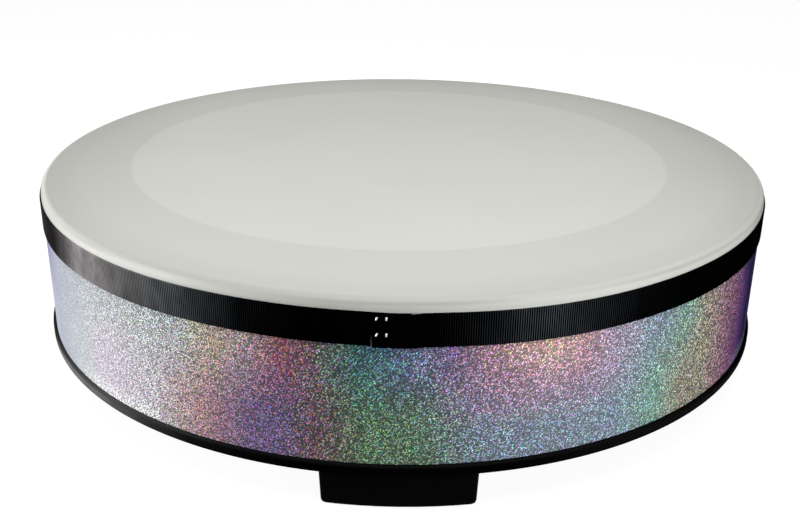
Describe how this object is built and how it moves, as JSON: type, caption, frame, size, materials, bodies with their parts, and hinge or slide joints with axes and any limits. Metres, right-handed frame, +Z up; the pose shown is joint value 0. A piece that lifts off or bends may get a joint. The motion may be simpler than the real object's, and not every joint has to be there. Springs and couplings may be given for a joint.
{
  "type": "gathering drum",
  "caption": "Low round floor drum on rubber feet, with a glued two-ply film head, a ribbed fabric band over its skirt, a prismatic film wrap and a rubber edge trim.",
  "frame": {"origin": "on the floor under the drum's centre, at the height of the feet's soles", "axes": "+Z up along the drum's axis, -Y towards the front, where the band's ends lap, +X to the right seen from the front"},
  "size_m": [0.565, 0.5657, 0.144],
  "materials": {
    "shell": "bare wood-fibre laminate",
    "wrap": "prismatic metallised film",
    "head": "milky satin polyester film",
    "band": "black ribbed ribbon",
    "trim": "smooth black extrusion",
    "foot": "matt black moulding",
    "steel": "bright zinc"
  },
  "bodies": {
    "root": {"shell": "shell", "shell_wrap": "wrap", "head_film": "head", "head_centre_ply": "head", "trim_band": "band", "bottom_edge_trim": "trim", "staple_upper": "steel", "staple_lower": "steel", "foot_front": "foot", "foot_rear_right": "foot", "foot_rear_left": "foot", "foot_screw_front_left": "steel", "foot_screw_front_right": "steel", "foot_screw_rear_right_left": "steel", "foot_screw_rear_right_right": "steel", "foot_screw_rear_left_left": "steel", "foot_screw_rear_left_right": "steel", "foot_washer_front_left": "steel", "foot_washer_front_right": "steel", "foot_washer_rear_right_left": "steel", "foot_washer_rear_right_right": "steel", "foot_washer_rear_left_left": "steel", "foot_washer_rear_left_right": "steel"}
  },
  "joints": []
}
